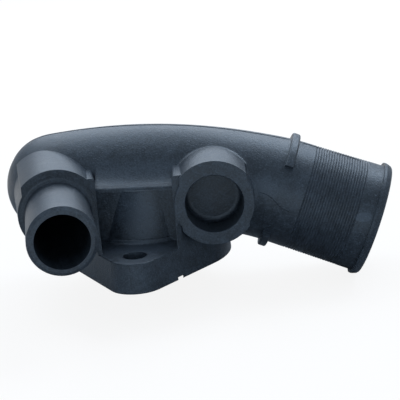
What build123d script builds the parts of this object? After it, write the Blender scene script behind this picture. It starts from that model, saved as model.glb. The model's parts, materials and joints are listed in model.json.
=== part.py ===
"""Coolant flange: one injection-moulded body in black glass-filled nylon.

Frame, in millimetres: the origin is the middle of the coolant opening on the
sealing face, which lies on Z = 0. +Z points away from the engine, +X runs along
the main tube towards the radiator spigot, and the heater spigot, the closed
sensor socket and the front bolt pocket all open towards -Y.
"""
from build123d import *
import os
from math import asin, cos, radians, sin, sqrt, tan

# Flange plate and its two bolts
pitch_circle_d = 61.0
bolt_hole_d = 7.0
bolt_line_turn = 2.7
plate_end_r = 25.2
ear_r = 8.2
plate_t = 8.9
plate_draft = 3.0
opening_r = 16.0
seal_groove_in_r = 17.6
seal_groove_w = 3.4
seal_groove_depth = 2.5
notch_w = 2.9
notch_h = 0.8
notch_x = 12.6
notch_run = 4.0

# Walls and small radii
wall = 3.0
edge_r = 0.35
foot_r = 1.3

# Riser: the duct that climbs from the opening into the tube
riser_top_z = 24.6
riser_base_r = 19.6
riser_top_r = 17.8
riser_lean = 1.8
riser_core_z = 21.0

# Flat wall at the back of the bolt pocket, rounded on top and blended into the tube
back_wall_y = 17.0
back_wall_top_z = 25.7
back_wall_round = 1.5
back_wall_blend = 2.2

# Main tube: a shallow crown arc that ends in a dome on the left. Its axis lies a
# little behind the opening and drifts further back towards both ends.
tube_y = 4.0
dome_back = 5.2
drift_x = 5.0
crown_x = -1.0
crown_z = 23.6
crown_arc_r = 138.0
dome_x = -29.3
dome_r = 16.15
shoulder_x = -11.2
shoulder_r = 16.0
crown_r = 15.95
neck_x = 23.5
neck_r = 15.75

# Radiator spigot: straight from its stop ribs to its lip
stop_x = 40.8
spigot_slope = 21.6
spigot_turn = 2.5
stop_r = 16.15
spigot_len = 28.1
spigot_mouth_r = 16.65
spigot_bore_r = 13.3
lip_w = 2.4
lip_rise = 1.0
lip_taper = 0.45
groove_count = 21
groove_pitch = 0.8
groove_depth = 0.22
groove_w = 0.5
groove_end_gap = 5.05
stop_rib_w = 2.5
stop_rib_h = 1.8
stop_rib_round = 0.6
stop_rib_half_angle = 50.0
stop_tab_half_angle = 51.0

# Bosses of the heater spigot and of the sensor socket share one section but for its top
boss_low_r = 12.2
boss_side_r = 11.55
boss_flat_half = 9.7
boss_draft = 1.5

# Side walls of the bolt pocket, each on the pocket side of its boss
pocket_wall_across = 11.8
pocket_wall_back = 0.8
pocket_wall_rise = 9.2
pocket_wall_round = 1.2
shelf_high = 8.0
shelf_run = 8.0

# Heater spigot
heater_face = (-21.8, -23.6, 20.3)
heater_turn = 16.2
heater_boss_top_r = 13.3
heater_len = 29.2
heater_root_r = 9.5
heater_tip_r = 9.9
heater_land = 6.0
heater_chamfer = 1.0
heater_bore_r = 7.8
heater_root_fillet = 1.4

# Closed sensor socket
socket_face = (24.4, -22.0, 20.9)
socket_turn = 9.0
socket_boss_top_r = 12.8
socket_blend = 1.2
socket_bore_r = 8.5
socket_depth = 11.4
socket_floor_fillet = 1.7
socket_mouth_chamfer = 0.2


def centreline(x):
    """Point of the tube's axis over x, on the crown arc and its backward drift."""
    run = x - crown_x
    z = crown_z - crown_arc_r + sqrt(crown_arc_r**2 - run**2)
    if x < drift_x:
        drift = dome_back * ((drift_x - x) / (drift_x - dome_x)) ** 2
    else:
        drift = tan(radians(spigot_turn)) * (x - drift_x) ** 2 / (2 * (stop_x - drift_x))
    return Vector(x, tube_y + drift, z)


def crown_plane(x):
    """Plane across the tube at a place on its crown arc."""
    step = 0.01
    along = centreline(x + step) - centreline(x - step)
    return Plane(origin=centreline(x), x_dir=(0, 0, 1), z_dir=along)


def spigot_plane(distance):
    """Plane across the radiator spigot, a distance along its axis from the stop ribs."""
    slope, turn = radians(spigot_slope), radians(spigot_turn)
    along = Vector(cos(slope) * cos(turn), cos(slope) * sin(turn), -sin(slope))
    return Plane(origin=centreline(stop_x) + along * distance, x_dir=(0, 0, 1), z_dir=along)


def side_plane(face, turn):
    """Plane on a boss's face: z runs out of the boss, y runs up."""
    out = (sin(radians(turn)), -cos(radians(turn)), 0)
    across = (cos(radians(turn)), sin(radians(turn)), 0)
    return Plane(origin=face, x_dir=across, z_dir=out)


def bolt_places():
    """Centres of the two bolts, front and rear."""
    turn = radians(bolt_line_turn)
    reach = pitch_circle_d / 2
    front = (reach * sin(turn), -reach * cos(turn))
    return [front, (-front[0], -front[1])]


def plate_outline(height):
    """Two ears joined by tangents to the round middle, drafted to a height above the sealing plane."""
    shrink = height * tan(radians(plate_draft))
    rounds = [Pos(0, 0, height) * Edge.make_circle(plate_end_r - shrink)]
    rounds += [Pos(x, y, height) * Edge.make_circle(ear_r - shrink) for x, y in bolt_places()]
    return make_hull(rounds)


def make_column(height):
    """The flange plate's outline raised to a height, with drafted sides."""
    return loft([plate_outline(0), plate_outline(height)], ruled=True)


def make_plate():
    """Flange plate with a rounded top edge."""
    plate = make_column(plate_t)
    return fillet(plate.edges().group_by(Axis.Z)[-1], edge_r)


def boss_section(top_r, grow):
    """Round boss with a larger cap above and a lower one below, both cut to two flats."""
    top, low = top_r + grow, boss_low_r + grow
    width = 2 * (boss_flat_half + grow)
    upper = Circle(top) & (Pos(0, top / 2) * Rectangle(width, top))
    lower = Circle(low) & (Pos(0, -low / 2) * Rectangle(width, low))
    return Circle(boss_side_r + grow) + upper + lower


def reach_to_tube(face, turn):
    """Distance from a boss's face back to the tube's axis, along the boss."""
    return (tube_y - face[1]) / cos(radians(turn))


def make_boss(face, turn, top_r):
    """Drafted boss from its face back to the tube's axis."""
    plane = side_plane(face, turn)
    back = reach_to_tube(face, turn)
    spread = back * tan(radians(boss_draft))
    sections = [plane * boss_section(top_r, 0), plane.offset(-back) * boss_section(top_r, spread)]
    return loft(sections, ruled=True)


def add_socket_boss(skin):
    """The outside with the socket's boss, blended where the boss meets the tube."""
    plane = side_plane(socket_face, socket_turn)
    boss = make_boss(socket_face, socket_turn, socket_boss_top_r)

    def runs_round(edge):
        """Whether an edge runs round the boss and not along it."""
        start, end = (plane.to_local_coords(edge.position_at(share)) for share in (0, 1))
        return abs(end.Z - start.Z) < edge.length / 2 + socket_blend

    both = skin + boss
    return fillet(new_edges(skin, boss, combined=both).filter_by(runs_round), socket_blend)


def make_web(face, turn):
    """Web that carries a boss on the plate and slopes back from the rim to the boss's face."""
    back = reach_to_tube(face, turn)
    foot, rim = plate_t / 2 - face[2], plate_t - face[2]
    side = Polyline(
        (-back, foot), (shelf_run, foot), (shelf_run, rim), (0, rim + shelf_high),
        (0, 0), (-back, 0), close=True,
    )
    frame = side_plane(face, turn)
    across = Plane(origin=frame.origin, x_dir=frame.z_dir, z_dir=-frame.x_dir)
    web = extrude(across * make_face(side), boss_side_r, both=True)
    front_half = Pos(0, -2 * plate_end_r, 0) * Box(8 * plate_end_r, 4 * plate_end_r, 8 * plate_end_r)
    return web & make_column(face[2]) & front_half


def make_pocket_wall(face, turn, pocket_side):
    """Tall side wall of the bolt pocket, with its outer top edge rounded."""
    foot = plate_t / 2 - face[2]
    height = pocket_wall_rise - foot
    width = pocket_wall_across - boss_flat_half / 2
    middle = pocket_side * (pocket_wall_across - width / 2)
    section = Pos(middle, foot + height / 2) * Rectangle(width, height)
    corner = section.vertices().sort_by(lambda v: v.Y + pocket_side * v.X)[-1]
    plane = side_plane(face, turn).offset(-pocket_wall_back)
    side = extrude(plane * fillet(corner, pocket_wall_round), pocket_wall_back - reach_to_tube(face, turn))
    standing = (Align.CENTER, Align.CENTER, Align.MIN)
    above = Pos(0, 0, face[2]) * Box(8 * plate_end_r, 8 * plate_end_r, 2 * dome_r, align=standing)
    return side & (make_column(face[2]) + above)


def make_tube(shrink):
    """Tube from its dome to the stop ribs, smaller than the outside by shrink."""
    stations = [(dome_x, dome_r), (shoulder_x, shoulder_r), (crown_x, crown_r), (neck_x, neck_r)]
    sections = [crown_plane(x) * Circle(r - shrink) for x, r in stations]
    sections.append(spigot_plane(0) * Circle(stop_r - shrink))
    behind = (Align.CENTER, Align.CENTER, Align.MAX)
    dome = crown_plane(dome_x) * Sphere(dome_r - shrink, arc_size2=0, align=behind)
    return loft(sections) + dome


def make_tube_skin():
    """Outside of the tube, dome and radiator spigot."""
    spigot = loft([spigot_plane(0) * Circle(stop_r), spigot_plane(spigot_len) * Circle(spigot_mouth_r)])
    return make_tube(0) + spigot + make_lip()


def make_lip():
    """Lip behind which the hose clip sits: a short barb, highest at its back."""
    back_r = spigot_mouth_r + lip_rise
    profile = Polyline(
        (0, 0), (back_r, 0), (back_r, lip_w * 0.3), (back_r - lip_taper, lip_w - edge_r),
        (back_r - lip_taper - edge_r, lip_w), (0, lip_w), close=True,
    )
    return spigot_plane(spigot_len) * revolve(Plane.XZ * make_face(profile), Axis.Z)


def groove_start(index):
    """Distance from the stop ribs to the middle of one ring groove."""
    last = spigot_len - groove_end_gap
    return last - index * groove_pitch


def make_ring_grooves():
    """Fine V grooves that grip the hose."""
    cutters = []
    growth = (spigot_mouth_r - stop_r) / spigot_len
    for index in range(groove_count):
        place = groove_start(index)
        r = stop_r + growth * place
        outer = r + groove_depth
        profile = Polyline(
            (r - groove_depth, 0), (outer, groove_w), (outer, -groove_w), close=True,
        )
        cutters.append(spigot_plane(place) * revolve(Plane.XZ * make_face(profile), Axis.Z))
    return cutters


def make_stop_ribs():
    """Long stop rib over the top of the spigot and a shorter one below it."""
    ribs = []
    for middle, half in ((0.0, stop_rib_half_angle), (180.0, stop_tab_half_angle)):
        section = Pos(stop_r + stop_rib_h / 2 - wall / 4, 0) * Rectangle(stop_rib_h + wall / 2, stop_rib_w)
        section = fillet(section.vertices().group_by(Axis.X)[-1], stop_rib_round)
        rib = revolve(Plane.XZ * section, Axis.Z, revolution_arc=2 * half)
        ribs.append(spigot_plane(0) * (Rot(0, 0, middle - half) * rib))
    return ribs


def make_riser_skin():
    """Outside of the duct under the tube, with a blended foot."""
    base = Pos(0, 0, plate_t - foot_r) * Circle(riser_base_r)
    top = Pos(riser_lean, 0, riser_top_z) * Circle(riser_top_r)
    corner = Pos(riser_base_r, plate_t) * make_blend(foot_r)
    foot = revolve(Plane.XZ * corner, Axis.Z)
    return loft([base, top]) + foot


def make_blend(radius):
    """Concave corner section that fills the first quadrant by a radius."""
    square = Pos(radius / 2, radius / 2) * Rectangle(radius, radius)
    return square - Pos(radius, radius) * Circle(radius)


def back_wall_section(x):
    """Section of the pocket's back wall over x: rounded on top, then blended into the tube."""
    axis = centreline(x)
    r = crown_r + back_wall_blend
    arc_z = back_wall_top_z + back_wall_blend
    arc_y = axis.Y - sqrt(r**2 - (arc_z - axis.Z) ** 2)
    share = crown_r / r
    meet = (axis.Y + (arc_y - axis.Y) * share, axis.Z + (arc_z - axis.Z) * share)
    front = -back_wall_y
    shoulder_z = back_wall_top_z - back_wall_round
    edges = [
        Line((axis.Y, plate_t / 2), (front, plate_t / 2)),
        Line((front, plate_t / 2), (front, shoulder_z)),
        RadiusArc((front, shoulder_z), (front + back_wall_round, back_wall_top_z), back_wall_round),
        Line((front + back_wall_round, back_wall_top_z), (arc_y, back_wall_top_z)),
        RadiusArc((arc_y, back_wall_top_z), meet, -back_wall_blend),
        Line(meet, (axis.Y, meet[1])),
        Line((axis.Y, meet[1]), (axis.Y, plate_t / 2)),
    ]
    return Plane(origin=(x, 0, 0), x_dir=(0, 1, 0), z_dir=(1, 0, 0)) * make_face(edges)


def make_back_wall():
    """Flat wall at the back of the bolt pocket."""
    left = heater_face[0] + boss_side_r / 2
    right = socket_face[0] - boss_side_r / 2
    return loft([back_wall_section(x) for x in (left, crown_x, right)])


def make_heater_spigot():
    """Tapered hose spigot with a short straight land at its mouth."""
    plane = side_plane(heater_face, heater_turn)
    land_start = heater_len - heater_land
    profile = Polyline(
        (0, -wall), (heater_root_r, -wall), (heater_root_r, 0), (heater_tip_r, land_start),
        (heater_tip_r, heater_len - heater_chamfer), (heater_tip_r - heater_chamfer, heater_len),
        (0, heater_len), close=True,
    )
    return plane * revolve(Plane.XZ * make_face(profile), Axis.Z)


def make_root_fillet():
    """Concave ring where the heater spigot leaves its boss."""
    corner = Pos(heater_root_r, 0) * make_blend(heater_root_fillet)
    return side_plane(heater_face, heater_turn) * revolve(Plane.XZ * corner, Axis.Z)


def make_waterways():
    """Everything the coolant runs through."""
    tube = make_tube(wall)
    mouth = extrude(spigot_plane(-wall / 2) * Circle(spigot_bore_r), spigot_len + lip_w + 2 * wall)
    base = Pos(0, 0, -wall) * Circle(opening_r)
    top = Pos(riser_lean, 0, riser_core_z) * Circle(riser_top_r - wall)
    climb = loft([base, top])
    plane = side_plane(heater_face, heater_turn)
    back = reach_to_tube(heater_face, heater_turn)
    heater = extrude(plane.offset(-back) * Circle(heater_bore_r), back + heater_len + wall)
    return [tube, mouth, climb, heater]


def make_socket_bore():
    """Blind bore of the sensor socket with a rounded floor."""
    plane = side_plane(socket_face, socket_turn)
    f = socket_floor_fillet
    c = socket_mouth_chamfer
    profile = make_face([
        Line((0, c), (socket_bore_r + 2 * c, c)),
        Line((socket_bore_r + 2 * c, c), (socket_bore_r, -c)),
        Line((socket_bore_r, -c), (socket_bore_r, -socket_depth + f)),
        RadiusArc((socket_bore_r, -socket_depth + f), (socket_bore_r - f, -socket_depth), f),
        Line((socket_bore_r - f, -socket_depth), (0, -socket_depth)),
        Line((0, -socket_depth), (0, c)),
    ])
    return plane * revolve(Plane.XZ * profile, Axis.Z)


def make_plate_cuts():
    """Bolt holes, seal groove and the small notch in the sealing face's rim."""
    cuts = [Pos(x, y, 0) * Cylinder(bolt_hole_d / 2, 4 * plate_t) for x, y in bolt_places()]
    ring = Circle(seal_groove_in_r + seal_groove_w) - Circle(seal_groove_in_r)
    cuts.append(extrude(ring, seal_groove_depth))
    turn = radians(bolt_line_turn)
    side_angle = asin((plate_end_r - ear_r) / (pitch_circle_d / 2)) + turn
    edge_y = -(plate_end_r - notch_x * cos(side_angle)) / sin(side_angle)
    cuts.append(Pos(notch_x, edge_y + notch_run / 2, 0) * Box(notch_w, 2 * notch_run, 2 * notch_h))
    return cuts


def build():
    """The whole moulded body."""
    body = add_socket_boss(make_tube_skin()) + make_boss(heater_face, heater_turn, heater_boss_top_r)
    body += make_plate() + make_riser_skin() + make_back_wall()
    for face, turn, pocket_side in ((heater_face, heater_turn, 1), (socket_face, socket_turn, -1)):
        body += make_web(face, turn) + make_pocket_wall(face, turn, pocket_side)
    body += make_heater_spigot()
    body += make_root_fillet()
    for rib in make_stop_ribs():
        body += rib
    for void in make_waterways():
        body -= void
    body -= make_socket_bore()
    for cut in make_plate_cuts():
        body -= cut
    body -= make_ring_grooves()
    return body


flange_body = build()
os.makedirs("parts", exist_ok=True)
export_step(flange_body, "parts/flange_body.step")
print("solids", len(flange_body.solids()), "volume", round(flange_body.volume, 1))
print("box", flange_body.bounding_box())
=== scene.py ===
"""Looks of a one-piece coolant flange moulded in black glass-filled nylon.

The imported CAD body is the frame. This file dresses it, adds the fillet over the
bolt pocket and the fine lines that the mould left, and sets up the studio and
the camera at the photograph's viewing angle. Lengths are in metres, apart from
fields whose names end in _mm.
"""
from __future__ import annotations

import json
import logging
import math
from dataclasses import dataclass
from enum import Enum
from typing import Any

import bpy
from mathutils import Matrix, Vector
from mathutils.bvhtree import BVHTree
from mathutils.geometry import interpolate_bezier

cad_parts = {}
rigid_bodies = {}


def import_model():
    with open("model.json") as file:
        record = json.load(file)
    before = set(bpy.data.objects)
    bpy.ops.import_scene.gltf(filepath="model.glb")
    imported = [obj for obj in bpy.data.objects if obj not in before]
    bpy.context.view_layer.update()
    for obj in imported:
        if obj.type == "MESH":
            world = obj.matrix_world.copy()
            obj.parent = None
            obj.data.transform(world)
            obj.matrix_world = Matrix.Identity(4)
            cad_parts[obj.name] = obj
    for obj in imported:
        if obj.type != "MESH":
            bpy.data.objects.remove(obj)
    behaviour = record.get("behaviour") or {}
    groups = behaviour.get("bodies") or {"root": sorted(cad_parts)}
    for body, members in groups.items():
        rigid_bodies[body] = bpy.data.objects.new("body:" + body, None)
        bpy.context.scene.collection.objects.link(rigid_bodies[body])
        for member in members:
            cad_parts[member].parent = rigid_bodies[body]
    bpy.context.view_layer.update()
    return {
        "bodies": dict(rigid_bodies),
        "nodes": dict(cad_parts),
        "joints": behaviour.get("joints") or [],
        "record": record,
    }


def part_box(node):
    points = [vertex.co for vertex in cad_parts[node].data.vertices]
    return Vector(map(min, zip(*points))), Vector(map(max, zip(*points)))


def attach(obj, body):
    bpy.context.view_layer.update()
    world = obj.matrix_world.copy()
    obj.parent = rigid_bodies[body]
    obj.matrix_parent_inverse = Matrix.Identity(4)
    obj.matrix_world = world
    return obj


log = logging.getLogger("coolant_flange")

MM = 0.001

# Sockets of the Mix node when it mixes colours
MIX_AMOUNT, MIX_FIRST, MIX_SECOND, MIX_RESULT = 0, 6, 7, 2

# The level around which a Noise node's output lies
NOISE_MIDDLE = 0.5

# A smooth span's handles reach a sixth of the distance between its neighbours
HANDLE_DIVISOR = 6

Rgb = tuple[float, float, float]
Rgba = tuple[float, float, float, float]
Triple = tuple[float, float, float]
Ray = tuple[Vector, Vector]


class Maths(Enum):
    """Math node operations that the shader expressions use."""

    ADD = "ADD"
    SUBTRACT = "SUBTRACT"
    MULTIPLY = "MULTIPLY"
    DIVIDE = "DIVIDE"
    MAXIMUM = "MAXIMUM"
    MINIMUM = "MINIMUM"


class VectorMaths(Enum):
    """Vector Math node operations that the finishes use."""

    SUBTRACT = "SUBTRACT"
    DIVIDE = "DIVIDE"
    LENGTH = "LENGTH"
    DOT_PRODUCT = "DOT_PRODUCT"


class Level:
    """A number that varies over a surface: one shader socket with arithmetic."""

    def __init__(self, bench: NodeBench, socket: bpy.types.NodeSocket) -> None:
        """Wraps a socket.

        Args:
            bench: The bench whose tree holds the socket.
            socket: The output socket to wrap.
        """
        self.bench = bench
        self.socket = socket

    def _with(self, operation: Maths, first: Any, second: Any) -> Level:
        """Adds one Math node.

        Args:
            operation: What the node works out.
            first: Its first value or link.
            second: Its second value or link.

        Returns:
            The node's result.
        """
        values = {0: first, 1: second}
        node = self.bench.add("ShaderNodeMath", {"operation": operation.value}, values)
        return Level(self.bench, node.outputs[0])

    def __add__(self, other: Any) -> Level:
        """Sum."""
        return self._with(Maths.ADD, self, other)

    def __radd__(self, other: Any) -> Level:
        """Sum, with this level second."""
        return self._with(Maths.ADD, other, self)

    def __sub__(self, other: Any) -> Level:
        """Difference."""
        return self._with(Maths.SUBTRACT, self, other)

    def __rsub__(self, other: Any) -> Level:
        """Difference, with this level second."""
        return self._with(Maths.SUBTRACT, other, self)

    def __mul__(self, other: Any) -> Level:
        """Product."""
        return self._with(Maths.MULTIPLY, self, other)

    def __rmul__(self, other: Any) -> Level:
        """Product, with this level second."""
        return self._with(Maths.MULTIPLY, other, self)

    def __truediv__(self, other: Any) -> Level:
        """Quotient."""
        return self._with(Maths.DIVIDE, self, other)

    def __rtruediv__(self, other: Any) -> Level:
        """Quotient, with this level second."""
        return self._with(Maths.DIVIDE, other, self)

    def clipped(self) -> Level:
        """This level held between 0 and 1."""
        return self._with(Maths.MINIMUM, self._with(Maths.MAXIMUM, self, 0.0), 1.0)


class NodeBench:
    """Lays out one shader node tree."""

    def __init__(self, tree: bpy.types.NodeTree) -> None:
        """Empties a tree to build it anew.

        Args:
            tree: The material's or world's node tree.
        """
        self.tree = tree
        tree.nodes.clear()

    def add(
        self,
        kind: str,
        settings: dict[str, Any] | None = None,
        values: dict[Any, Any] | None = None,
    ) -> bpy.types.Node:
        """Adds a node.

        Args:
            kind: The node's type name.
            settings: Its own properties, set before its sockets.
            values: What each input socket, by name or number, holds or links to.

        Returns:
            The new node.
        """
        node = self.tree.nodes.new(kind)
        for name, value in (settings or {}).items():
            setattr(node, name, value)
        for key, value in (values or {}).items():
            self.feed(node.inputs[key], value)
        return node

    def feed(self, socket: bpy.types.NodeSocket, value: Any) -> None:
        """Links a level or socket to an input, or sets a plain value on it.

        Args:
            socket: The input socket.
            value: A Level, an output socket or a plain value.
        """
        if isinstance(value, Level):
            self.tree.links.new(value.socket, socket)
        elif isinstance(value, bpy.types.NodeSocket):
            self.tree.links.new(value, socket)
        else:
            socket.default_value = value

    def level(self, node: bpy.types.Node, output: Any = 0) -> Level:
        """A node's output as a level."""
        return Level(self, node.outputs[output])

    def vector(self, operation: VectorMaths, *inputs: Any) -> bpy.types.Node:
        """A Vector Math node on the inputs."""
        return self.add("ShaderNodeVectorMath", {"operation": operation.value}, dict(enumerate(inputs)))

    def blend(self, amount: Any, first: Any, second: Any) -> bpy.types.NodeSocket:
        """Mixes two colours.

        Args:
            amount: Share of the second colour.
            first: Colour at 0.
            second: Colour at 1.

        Returns:
            The mixed colour's socket.
        """
        values = {MIX_AMOUNT: amount, MIX_FIRST: first, MIX_SECOND: second}
        node = self.add("ShaderNodeMix", {"data_type": "RGBA"}, values)
        return node.outputs[MIX_RESULT]


def new_material(name: str) -> tuple[bpy.types.Material, NodeBench]:
    """Starts a material.

    Args:
        name: The material's name.

    Returns:
        The material and the bench for its nodes.
    """
    made = bpy.data.materials.new(name)
    made.use_nodes = True
    return made, NodeBench(made.node_tree)


def new_mesh(
    name: str, points: list[Any], faces: list[tuple[int, ...]], finish: bpy.types.Material
) -> bpy.types.Mesh:
    """Builds a mesh.

    Args:
        name: The mesh's name.
        points: Its points.
        faces: Its faces, as numbers of points.
        finish: What it is made of.

    Returns:
        The mesh.
    """
    mesh = bpy.data.meshes.new(name)
    mesh.from_pydata(points, [], faces)
    mesh.validate()
    mesh.materials.append(finish)
    return mesh


def new_object(name: str, data: bpy.types.ID) -> bpy.types.Object:
    """Puts an object in the scene.

    Args:
        name: The object's name.
        data: Its mesh, lamp or camera.

    Returns:
        The object.
    """
    made = bpy.data.objects.new(name, data)
    bpy.context.scene.collection.objects.link(made)
    return made


@dataclass(frozen=True)
class NoiseField:
    """Soft random lumps of one size."""

    size: float
    octaves: float
    harshness: float = 0.6

    def level(self, bench: NodeBench, place: bpy.types.NodeSocket) -> Level:
        """The lumps over the surface.

        Args:
            bench: The bench of the material.
            place: The surface point, in the object's own frame.

        Returns:
            The noise, around 0.
        """
        values = {
            "Vector": place,
            "Scale": 1 / self.size,
            "Detail": self.octaves,
            "Roughness": self.harshness,
        }
        return bench.level(bench.add("ShaderNodeTexNoise", {}, values)) - NOISE_MIDDLE


@dataclass(frozen=True)
class Unevenness:
    """A property of the finish: its base, and how far each size of lumps moves it."""

    base: float
    cloud: float
    mottle: float
    grain: float

    def level(self, cloud: Level, mottle: Level, grain: Level) -> Level:
        """The property over the surface."""
        return self.base + cloud * self.cloud + mottle * self.mottle + grain * self.grain


@dataclass(frozen=True)
class ScuffAndPaintedLight:
    """A soft-edged place painted paler than elsewhere: a scuff on the skin, and also painted light where
    light falls more strongly.
    """

    name: str
    centre_mm: Triple
    reach_mm: Triple
    strength: float
    softness: float

    def mask(self, bench: NodeBench, place: bpy.types.NodeSocket) -> Level:
        """How strongly the pale patch shows.

        Args:
            bench: The bench of the material.
            place: The surface point, in the object's own frame.

        Returns:
            The patch's strength at its centre, falling to 0 at its edge.
        """
        away = bench.vector(VectorMaths.SUBTRACT, place, [side * MM for side in self.centre_mm])
        share = bench.vector(VectorMaths.DIVIDE, away.outputs[0], [side * MM for side in self.reach_mm])
        length = bench.level(bench.vector(VectorMaths.LENGTH, share.outputs[0]), "Value")
        return ((1 - length) / self.softness).clipped() * self.strength


@dataclass(frozen=True)
class MouldedNylon:
    """Black glass-filled nylon as it comes from the mould, with a painted highlight on its edges and
    paler patches, most of them painted light.
    """

    name: str = "black moulded nylon"
    colour: Rgba = (0.006, 0.0085, 0.0122, 1.0)
    bloom_colour: Rgba = (0.026, 0.036, 0.049, 1.0)
    fibre_colour: Rgba = (0.10, 0.137, 0.186, 1.0)
    # A paler colour painted on every edge, convex and concave alike: a painted edge highlight.
    edge_highlight_colour: Rgba = (0.060, 0.082, 0.112, 1.0)
    specular: float = 0.52
    specular_tint: Rgba = (0.74, 0.88, 1.0, 1.0)
    bloom: Unevenness = Unevenness(base=0.34, cloud=1.3, mottle=1.2, grain=2.2)
    roughness: Unevenness = Unevenness(base=0.44, cloud=0.16, mottle=0.12, grain=0.14)
    cloud_noise: NoiseField = NoiseField(size=11 * MM, octaves=3.0)
    mottle_noise: NoiseField = NoiseField(size=1.9 * MM, octaves=2.0)
    grain_noise: NoiseField = NoiseField(size=0.48 * MM, octaves=2.0)
    fibre_noise: NoiseField = NoiseField(size=0.34 * MM, octaves=1.0, harshness=0.5)
    fibre_turn: Triple = (0.0, 0.3, 0.5)
    fibre_stretch: float = 1.8
    fibre_threshold: float = 0.10
    fibre_contrast: float = 7.0
    fibre_share: float = 0.2
    edge_radius: float = 0.18 * MM
    edge_samples: int = 8
    edge_contrast: float = 5.0
    edge_highlight_base: float = 0.55
    edge_mottle: float = 1.2
    edge_share: float = 0.5
    edge_polish: float = 0.08
    bump_strength: float = 0.75
    bump_height: float = 0.10 * MM
    mottle_bump: float = 0.8
    fibre_bump: float = 0.3
    pale_patch_grain: float = 2.0
    scuffs_and_painted_light: tuple[ScuffAndPaintedLight, ...] = ()

    def _fibres(self, bench: NodeBench, place: bpy.types.NodeSocket) -> Level:
        """Short glass fibres that lie in the skin along the flow.

        Args:
            bench: The bench of the material.
            place: The surface point, in the object's own frame.

        Returns:
            1 on a fibre, 0 elsewhere.
        """
        squeeze = (1 / self.fibre_stretch, 1.0, 1.0)
        values = {"Vector": place, "Rotation": self.fibre_turn, "Scale": squeeze}
        along = bench.add("ShaderNodeMapping", {}, values).outputs[0]
        crests = self.fibre_noise.level(bench, along) - self.fibre_threshold
        return (crests * self.fibre_contrast).clipped()

    def _edges(self, bench: NodeBench, rounded: bpy.types.NodeSocket) -> Level:
        """Where the surface turns over an edge.

        Args:
            bench: The bench of the material.
            rounded: The surface's normal, rounded over its edges.

        Returns:
            1 on an edge, 0 elsewhere.
        """
        plain = bench.add("ShaderNodeNewGeometry").outputs["Normal"]
        agree = bench.level(bench.vector(VectorMaths.DOT_PRODUCT, rounded, plain), "Value")
        return ((1 - agree) * self.edge_contrast).clipped()

    def material(self) -> bpy.types.Material:
        """Builds the material.

        Returns:
            The finished material.
        """
        made, bench = new_material(self.name)
        place = bench.add("ShaderNodeTexCoord").outputs["Object"]
        cloud = self.cloud_noise.level(bench, place)
        mottle = self.mottle_noise.level(bench, place)
        grain = self.grain_noise.level(bench, place)
        fibre = self._fibres(bench, place)
        bevel = bench.add("ShaderNodeBevel", {"samples": self.edge_samples}, {"Radius": self.edge_radius})
        rounded = bevel.outputs[0]
        # Painted edge highlight: the colour turns paler wherever the surface turns over an edge.
        painted_edge_highlight = (self._edges(bench, rounded) * (self.edge_highlight_base + mottle * self.edge_mottle)).clipped()
        bloom = self.bloom.level(cloud, mottle, grain).clipped()
        speckle = 1 + grain * self.pale_patch_grain
        # Paler patches of the finish; most of them are painted light.
        for pale_patch in self.scuffs_and_painted_light:
            bloom = bloom + pale_patch.mask(bench, place) * speckle
        colour = bench.blend(bloom, self.colour, self.bloom_colour)
        colour = bench.blend(fibre * self.fibre_share, colour, self.fibre_colour)
        colour = bench.blend(painted_edge_highlight * self.edge_share, colour, self.edge_highlight_colour)
        rough = self.roughness.level(cloud, mottle, grain) - painted_edge_highlight * self.edge_polish
        bump = bench.add(
            "ShaderNodeBump",
            {},
            {
                "Strength": self.bump_strength,
                "Distance": self.bump_height,
                "Height": grain + mottle * self.mottle_bump + fibre * self.fibre_bump,
                "Normal": rounded,
            },
        )
        skin = bench.add(
            "ShaderNodeBsdfPrincipled",
            {},
            {
                "Base Color": colour,
                "Roughness": rough.clipped(),
                "Specular IOR Level": self.specular,
                "Specular Tint": self.specular_tint,
                "Normal": bump.outputs[0],
            },
        )
        bench.add("ShaderNodeOutputMaterial", {}, {"Surface": skin.outputs[0]})
        return made


@dataclass
class FlangeBody:
    """The moulding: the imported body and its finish."""

    node: str = "flange_body"
    scuffs_and_painted_light: tuple[ScuffAndPaintedLight, ...] = (
        ScuffAndPaintedLight(
            "rubbed mark beside the lip",
            centre_mm=(66.6, -10.1, 11.7),
            reach_mm=(2.7, 3.0, 1.4),
            strength=6.5,
            softness=0.5,
        ),
        # Painted highlight: the bright band where the fillet over the pocket catches the light.
        ScuffAndPaintedLight(
            "painted highlight on the strip over the pocket",
            centre_mm=(0.0, -11.5, 29.0),
            reach_mm=(30.0, 8.0, 4.0),
            strength=0.5,
            softness=0.7,
        ),
        # Painted sheen: light falling on the tube beside the sensor boss.
        ScuffAndPaintedLight(
            "painted sheen on the tube beside the sensor boss",
            centre_mm=(36.5, -11.5, 22.5),
            reach_mm=(8.0, 6.0, 4.2),
            strength=0.9,
            softness=0.8,
        ),
        # Painted light: the fill light that reaches the pocket's back wall.
        ScuffAndPaintedLight(
            "painted light on the back wall of the pocket",
            centre_mm=(0.5, -19.0, 17.0),
            reach_mm=(7.0, 5.0, 12.0),
            strength=1.3,
            softness=0.9,
        ),
        # Painted light: the fill light that reaches the pocket's floor.
        ScuffAndPaintedLight(
            "painted light on the floor of the pocket",
            centre_mm=(1.0, -24.0, 9.0),
            reach_mm=(11.0, 6.0, 3.0),
            strength=1.0,
            softness=0.8,
        ),
    )

    def dress(self, frame: dict[str, Any]) -> bpy.types.Object:
        """Gives the body its finish.


        Returns:
            The dressed object.
        """
        body = frame["nodes"][self.node]
        body.data.materials.clear()
        body.data.materials.append(MouldedNylon(scuffs_and_painted_light=self.scuffs_and_painted_light).material())
        log.info("%s: paler at %s", self.node, ", ".join(pale_patch.name for pale_patch in self.scuffs_and_painted_light))
        return body

    @staticmethod
    def skin(body: bpy.types.Object) -> BVHTree:
        """The body's surface, for rays to meet.

        Args:
            body: The body's object.

        Returns:
            The surface.
        """
        points = [point.co for point in body.data.vertices]
        return BVHTree.FromPolygons(points, [tuple(face.vertices) for face in body.data.polygons])


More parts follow.
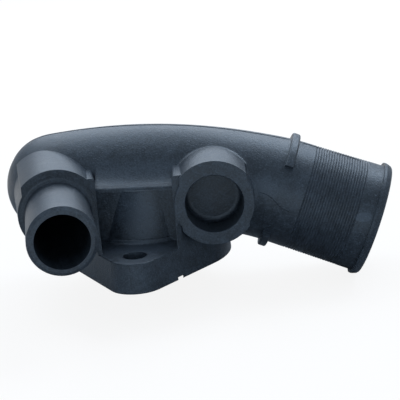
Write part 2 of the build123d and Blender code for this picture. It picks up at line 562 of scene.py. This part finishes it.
@dataclass
class PocketBlend:
    """The hollow fillet that runs from the tube's front down to the bolt pocket's back wall."""

    name: str = "pocket_blend"
    left: float = -12.6 * MM
    right: float = 12.6 * MM
    stations: int = 42
    steps: int = 14
    tube_z: float = 32.2 * MM
    tangent_run: float = 3.2 * MM
    crease_z: float = 26.1 * MM
    shelf_y: float = -15.9 * MM
    shelf_z: float = 25.62 * MM
    sunk: float = 0.04 * MM
    root_depth: float = 1.0 * MM
    clear: float = 22.9 * MM

    def section(self, skin: BVHTree, x: float) -> list[Vector]:
        """The fillet's outline at one place along the pocket.

        Args:
            skin: The body's surface.
            x: Place along the pocket.

        Returns:
            Points down the hollow curve, then two points buried in the body.
        """
        eye = Vector((x, -self.clear, self.tube_z))
        top = skin.ray_cast(eye, Vector((0.0, 1.0, 0.0)))[0] + Vector((0.0, self.sunk, 0.0))
        crease = Vector((x, top.y - self.tangent_run, self.crease_z))
        foot = Vector((x, self.shelf_y, self.shelf_z))
        points = []
        for step in range(self.steps + 1):
            share = step / self.steps
            upper, lower = top.lerp(crease, share), crease.lerp(foot, share)
            points.append(upper.lerp(lower, share))
        inward = Vector((0.0, self.root_depth, -self.root_depth))
        return points + [foot + inward, top + inward]

    def build(self, skin: BVHTree, finish: bpy.types.Material) -> bpy.types.Object:
        """Lofts the fillet along the pocket.

        Args:
            skin: The body's surface.
            finish: What it is made of.

        Returns:
            The fillet, riding on the body.
        """
        span = self.right - self.left
        sections = [
            self.section(skin, self.left + span * index / self.stations)
            for index in range(self.stations + 1)
        ]
        size = len(sections[0])
        faces = []
        for index in range(self.stations):
            here, there = index * size, (index + 1) * size
            for corner in range(size):
                after = (corner + 1) % size
                faces.append((here + corner, there + corner, there + after, here + after))
        last = self.stations * size
        faces.append(tuple(range(size)))
        faces.append(tuple(reversed(range(last, last + size))))
        mesh = new_mesh(self.name, [point for section in sections for point in section], faces, finish)
        for face in mesh.polygons[:last]:
            face.use_smooth = face.index % size < self.steps
        made = new_object(self.name, mesh)
        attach(made, "root")
        log.info("%s: %d sections", self.name, len(sections))
        return made


@dataclass(frozen=True)
class Ridge:
    """A thin ridge of flash that the mould left on the skin, triangular in section."""

    name: str
    width: float
    height: float
    sunk: float = 0.03 * MM

    def build(self, skin: BVHTree, rays: list[Ray], finish: bpy.types.Material) -> bpy.types.Object:
        """Lays the ridge where rays meet the skin.

        Args:
            skin: The body's surface.
            rays: Start and direction of each ray, in order along the ridge.
            finish: What it is made of.

        Returns:
            The ridge, riding on the body.
        """
        met = [skin.ray_cast(start, way)[:2] for start, way in rays]
        spots = [(spot, normal) for spot, normal in met if spot is not None]
        last = len(spots) - 1
        points = []
        for index, (spot, normal) in enumerate(spots):
            along = spots[min(index + 1, last)][0] - spots[max(index - 1, 0)][0]
            across = along.cross(normal).normalized() * (self.width / 2)
            taper = 0.0 if index in (0, last) else 1.0
            foot = spot - normal * self.sunk
            crest = foot + normal * (self.height + self.sunk) * taper
            points += [foot - across, crest, foot + across]
        size = len(points) // len(spots)
        faces = []
        for here in range(0, last * size, size):
            for corner in range(size):
                after = (corner + 1) % size
                faces.append((here + corner, here + after, here + size + after, here + size + corner))
        faces.append(tuple(reversed(range(size))))
        faces.append(tuple(range(last * size, (last + 1) * size)))
        made = new_object(self.name, new_mesh(self.name, points, faces, finish))
        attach(made, "root")
        log.info("%s: %d stations", self.name, len(spots))
        return made


@dataclass
class MouldMarks:
    """The parting line over the tube and the wavy witness line on the spigot."""

    tube_y: float = 4.0 * MM
    drift_x: float = 5.0 * MM
    dome_x: float = -29.3 * MM
    dome_back: float = 5.2 * MM
    stop_x: float = 40.8 * MM
    spigot_turn: float = 2.5
    crown_z: float = 20.0 * MM
    dome_low_angle: int = 184
    dome_high_angle: int = 90
    dome_step_angle: int = 3
    lip_x: float = 66.5 * MM
    rib_x: float = 46.9 * MM
    rib_reach: float = 2.6 * MM
    station: float = 0.8 * MM
    clear: float = 80 * MM
    parting: Ridge = Ridge("parting_line", width=0.42 * MM, height=0.14 * MM)
    witness: Ridge = Ridge("witness_line", width=0.26 * MM, height=0.06 * MM)
    witness_points: int = 5
    witness_path_mm: tuple[tuple[float, float], ...] = (
        (34.6, 21.1), (36.4, 20.8), (38.2, 20.2), (39.7, 19.2), (41.0, 17.8),
        (42.3, 16.2), (43.8, 15.1), (45.6, 14.3), (47.6, 13.7),
    )
    # Darker than the body: painted shade along the thin ridges of the parting and witness lines.
    nylon: MouldedNylon = MouldedNylon(
        name="mould line painted shade nylon",
        colour=(0.003, 0.004, 0.0055, 1.0),
        bloom_colour=(0.010, 0.014, 0.019, 1.0),
        specular=0.12,
    )

    def axis_y(self, x: float) -> float:
        """Place of the tube's axis across the object.

        Args:
            x: Place along the object.

        Returns:
            How far back the axis is.
        """
        if x < self.drift_x:
            share = (self.drift_x - max(x, self.dome_x)) / (self.drift_x - self.dome_x)
            return self.tube_y + self.dome_back * share**2
        lean = math.tan(math.radians(self.spigot_turn))
        bend = (min(x, self.stop_x) - self.drift_x) ** 2 / (2 * (self.stop_x - self.drift_x))
        return self.tube_y + lean * (bend + max(0.0, x - self.stop_x))

    def crown_rays(self) -> list[Ray]:
        """Aims at the tube's crown, from the dome's left side to the spigot's lip.

        Returns:
            The rays, with none on the stop rib.
        """
        rays = []
        centre = Vector((self.dome_x, self.axis_y(self.dome_x), self.crown_z))
        for degrees in range(self.dome_low_angle, self.dome_high_angle, -self.dome_step_angle):
            turn = math.radians(degrees)
            way = Vector((math.cos(turn), 0.0, math.sin(turn)))
            rays.append((centre + way * self.clear, -way))
        down = Vector((0.0, 0.0, -1.0))
        for index in range(round((self.lip_x - self.dome_x) / self.station) + 1):
            x = self.dome_x + index * self.station
            if abs(x - self.rib_x) >= self.rib_reach:
                rays.append((Vector((x, self.axis_y(x), self.clear)), down))
        return rays

    def witness_rays(self) -> list[Ray]:
        """Aims at the spigot's front, on a smooth curve through the witness line's points.

        Returns:
            The rays.
        """
        rays = []
        back = Vector((0.0, 1.0, 0.0))
        path = [Vector((x * MM, -self.clear, z * MM)) for x, z in self.witness_path_mm]
        for before, start, end, after in zip(path, path[1:], path[2:], path[3:]):
            leaving = start + (end - before) / HANDLE_DIVISOR
            arriving = end - (after - start) / HANDLE_DIVISOR
            spots = interpolate_bezier(start, leaving, arriving, end, self.witness_points)
            rays += [(spot, back) for spot in spots[:-1]]
        return rays

    def build(self, skin: BVHTree) -> None:
        """Adds the lines to the body.

        Args:
            skin: The body's surface.
        """
        finish = self.nylon.material()
        self.parting.build(skin, self.crown_rays(), finish)
        self.witness.build(skin, self.witness_rays(), finish)


@dataclass(frozen=True)
class SoftBox:
    """One large lamp that faces the object."""

    name: str
    azimuth: float
    elevation: float
    radiance: float
    width: float = 0.5
    height: float = 0.42
    distance: float = 1.0

    def place(self, target: Vector, colour: Rgb) -> bpy.types.Object:
        """Puts the lamp in the scene.

        Args:
            target: The point that the lamp faces.
            colour: Colour of its light.

        Returns:
            The lamp.
        """
        lamp = bpy.data.lights.new(self.name, "AREA")
        lamp.shape = "RECTANGLE"
        lamp.size = self.width
        lamp.size_y = self.height
        lamp.energy = self.radiance * math.pi * self.width * self.height
        lamp.color = colour
        turn, rise = math.radians(self.azimuth), math.radians(self.elevation)
        out = Vector(
            (math.sin(turn) * math.cos(rise), -math.cos(turn) * math.cos(rise), math.sin(rise))
        )
        made = new_object(self.name, lamp)
        made.location = target + out * self.distance
        made.rotation_euler = out.to_track_quat("Z", "Y").to_euler()
        return made


@dataclass
class Studio:
    """White floor, soft boxes and an even surround."""

    floor_z: float
    floor_size: tuple[float, float] = (60.0, 60.0)
    floor_colour: Rgba = (0.80, 0.80, 0.80, 1.0)
    floor_white: float = 0.88
    # A sheet seen only in gloss: painted shade, standing in for the shadowed floor under the object in
    # its reflections.
    card_size: tuple[float, float] = (0.30, 0.20)
    shade_card_colour: Rgba = (0.30, 0.32, 0.34, 1.0)
    card_lift: float = 0.4 * MM
    card_unseen_by: tuple[str, ...] = ("camera", "diffuse", "shadow", "transmission", "volume_scatter")
    target: Triple = (12 * MM, 0.0, 15 * MM)
    surround: float = 0.60
    light_colour: Rgb = (0.86, 0.97, 1.11)
    boxes: tuple[SoftBox, ...] = (
        SoftBox("high box behind right", azimuth=144.0, elevation=52.0, radiance=6.6),
        SoftBox("high box behind", azimuth=180.0, elevation=52.0, radiance=1.2),
        SoftBox("high box behind left", azimuth=222.0, elevation=50.0, radiance=2.8),
        SoftBox("overhead box", azimuth=240.0, elevation=72.0, radiance=1.5),
        SoftBox("low box behind", azimuth=188.0, elevation=30.0, radiance=2.3, width=0.8),
        SoftBox("front box", azimuth=2.0, elevation=8.0, radiance=1.7),
    )

    def build(self) -> None:
        """Builds the floor, the card, the lamps and the surround."""
        self._floor()
        self._lay_shade_card()
        for box in self.boxes:
            box.place(Vector(self.target), self.light_colour)
        self._surround()
        bpy.context.scene.view_settings.view_transform = "Standard"
        log.info("studio with %d soft boxes", len(self.boxes))

    @staticmethod
    def _level_sheet(
        name: str, size: tuple[float, float], finish: bpy.types.Material
    ) -> bpy.types.Object:
        """Lays a flat level sheet that isn't part of the object.

        Args:
            name: The sheet's name.
            size: Its width and its depth.
            finish: What it is made of.

        Returns:
            The sheet, centred on the origin.
        """
        across, deep = (side / 2 for side in size)
        corners = [(-across, -deep, 0), (across, -deep, 0), (across, deep, 0), (-across, deep, 0)]
        sheet = new_object(name, new_mesh(name, corners, [(0, 1, 2, 3)], finish))
        return sheet

    def _floor(self) -> None:
        """Lays a wide white floor under the object."""
        floor = self._level_sheet("floor", self.floor_size, self._floor_material())
        floor.location.z = self.floor_z

    def _lay_shade_card(self) -> None:
        """Lays a painted shade card on the floor, seen only in the gloss of the object's lower side,
        where it paints the floor's shadow under the object.
        """
        shade_card_material, bench = new_material("painted shade card")
        matt = bench.add("ShaderNodeBsdfDiffuse", {}, {"Color": self.shade_card_colour})
        bench.add("ShaderNodeOutputMaterial", {}, {"Surface": matt.outputs[0]})
        card = self._level_sheet("painted_shade_card", self.card_size, shade_card_material)
        card.location = (self.target[0], self.target[1], self.floor_z + self.card_lift)
        for rays in self.card_unseen_by:
            setattr(card, f"visible_{rays}", False)

    def _floor_material(self) -> bpy.types.Material:
        """White to the camera and in reflections, with the object's soft shadow.

        Returns:
            The floor's material.
        """
        made, bench = new_material("studio floor")
        path = bench.add("ShaderNodeLightPath")
        seen = bench.level(path, "Is Camera Ray") + bench.level(path, "Is Glossy Ray")
        seen = (seen + bench.level(path, "Is Transmission Ray")).clipped()
        matt = bench.add("ShaderNodeBsdfDiffuse", {}, {"Color": self.floor_colour})
        white = bench.add("ShaderNodeEmission", {}, {"Strength": 1.0})
        values = {0: seen * self.floor_white, 1: matt.outputs[0], 2: white.outputs[0]}
        mix = bench.add("ShaderNodeMixShader", {}, values)
        bench.add("ShaderNodeOutputMaterial", {}, {"Surface": mix.outputs[0]})
        return made

    def _surround(self) -> None:
        """Lights the object evenly from all round."""
        world = bpy.data.worlds.new("surround")
        bpy.context.scene.world = world
        world.use_nodes = True
        bench = NodeBench(world.node_tree)
        values = {"Color": (*self.light_colour, 1.0), "Strength": self.surround}
        light = bench.add("ShaderNodeBackground", {}, values)
        bench.add("ShaderNodeOutputWorld", {}, {"Surface": light.outputs[0]})


@dataclass(frozen=True)
class PhotoCamera:
    """The camera at the photograph's viewing angle."""

    azimuth: float = 8.8
    elevation: float = 15.5
    roll: float = 4.7
    depth: float = 404.64 * MM
    focal_px: float = 1300.0
    frame_px: float = 400.0
    origin_px: tuple[float, float] = (150.49, 251.97)
    sensor_mm: float = 36.0
    clip_start: float = 10 * MM

    def place(self) -> bpy.types.Object:
        """Puts the camera in the scene.

        Returns:
            The camera.
        """
        turn, rise, roll = (math.radians(a) for a in (self.azimuth, self.elevation, self.roll))
        ahead = Vector(
            (-math.sin(turn) * math.cos(rise), math.cos(turn) * math.cos(rise), -math.sin(rise))
        )
        level_right = Vector((math.cos(turn), math.sin(turn), 0.0))
        level_up = level_right.cross(ahead)
        right = level_right * math.cos(roll) - level_up * math.sin(roll)
        up = level_right * math.sin(roll) + level_up * math.cos(roll)
        half = self.frame_px / 2
        across = (self.origin_px[0] - half) / self.focal_px * self.depth
        above = -(self.origin_px[1] - half) / self.focal_px * self.depth
        spot = -(ahead * self.depth + right * across + up * above)
        data = bpy.data.cameras.new("photo camera")
        data.sensor_fit = "HORIZONTAL"
        data.sensor_width = self.sensor_mm
        data.lens = self.focal_px / self.frame_px * self.sensor_mm
        data.clip_start = self.clip_start
        made = new_object("photo camera", data)
        made.matrix_world = Matrix(
            (
                (right.x, up.x, -ahead.x, spot.x),
                (right.y, up.y, -ahead.y, spot.y),
                (right.z, up.z, -ahead.z, spot.z),
                (0.0, 0.0, 0.0, 1.0),
            )
        )
        bpy.context.scene.camera = made
        log.info("camera at %s", [round(c, 4) for c in spot])
        return made


def main() -> None:
    """Builds the scene."""
    logging.basicConfig(level=logging.INFO)
    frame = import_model()
    flange = FlangeBody()
    body = flange.dress(frame)
    skin = flange.skin(body)
    PocketBlend().build(skin, body.data.materials[0])
    MouldMarks().build(skin)
    Studio(floor_z=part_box(flange.node)[0][2]).build()
    PhotoCamera().place()


if __name__ == "__main__":
    main()
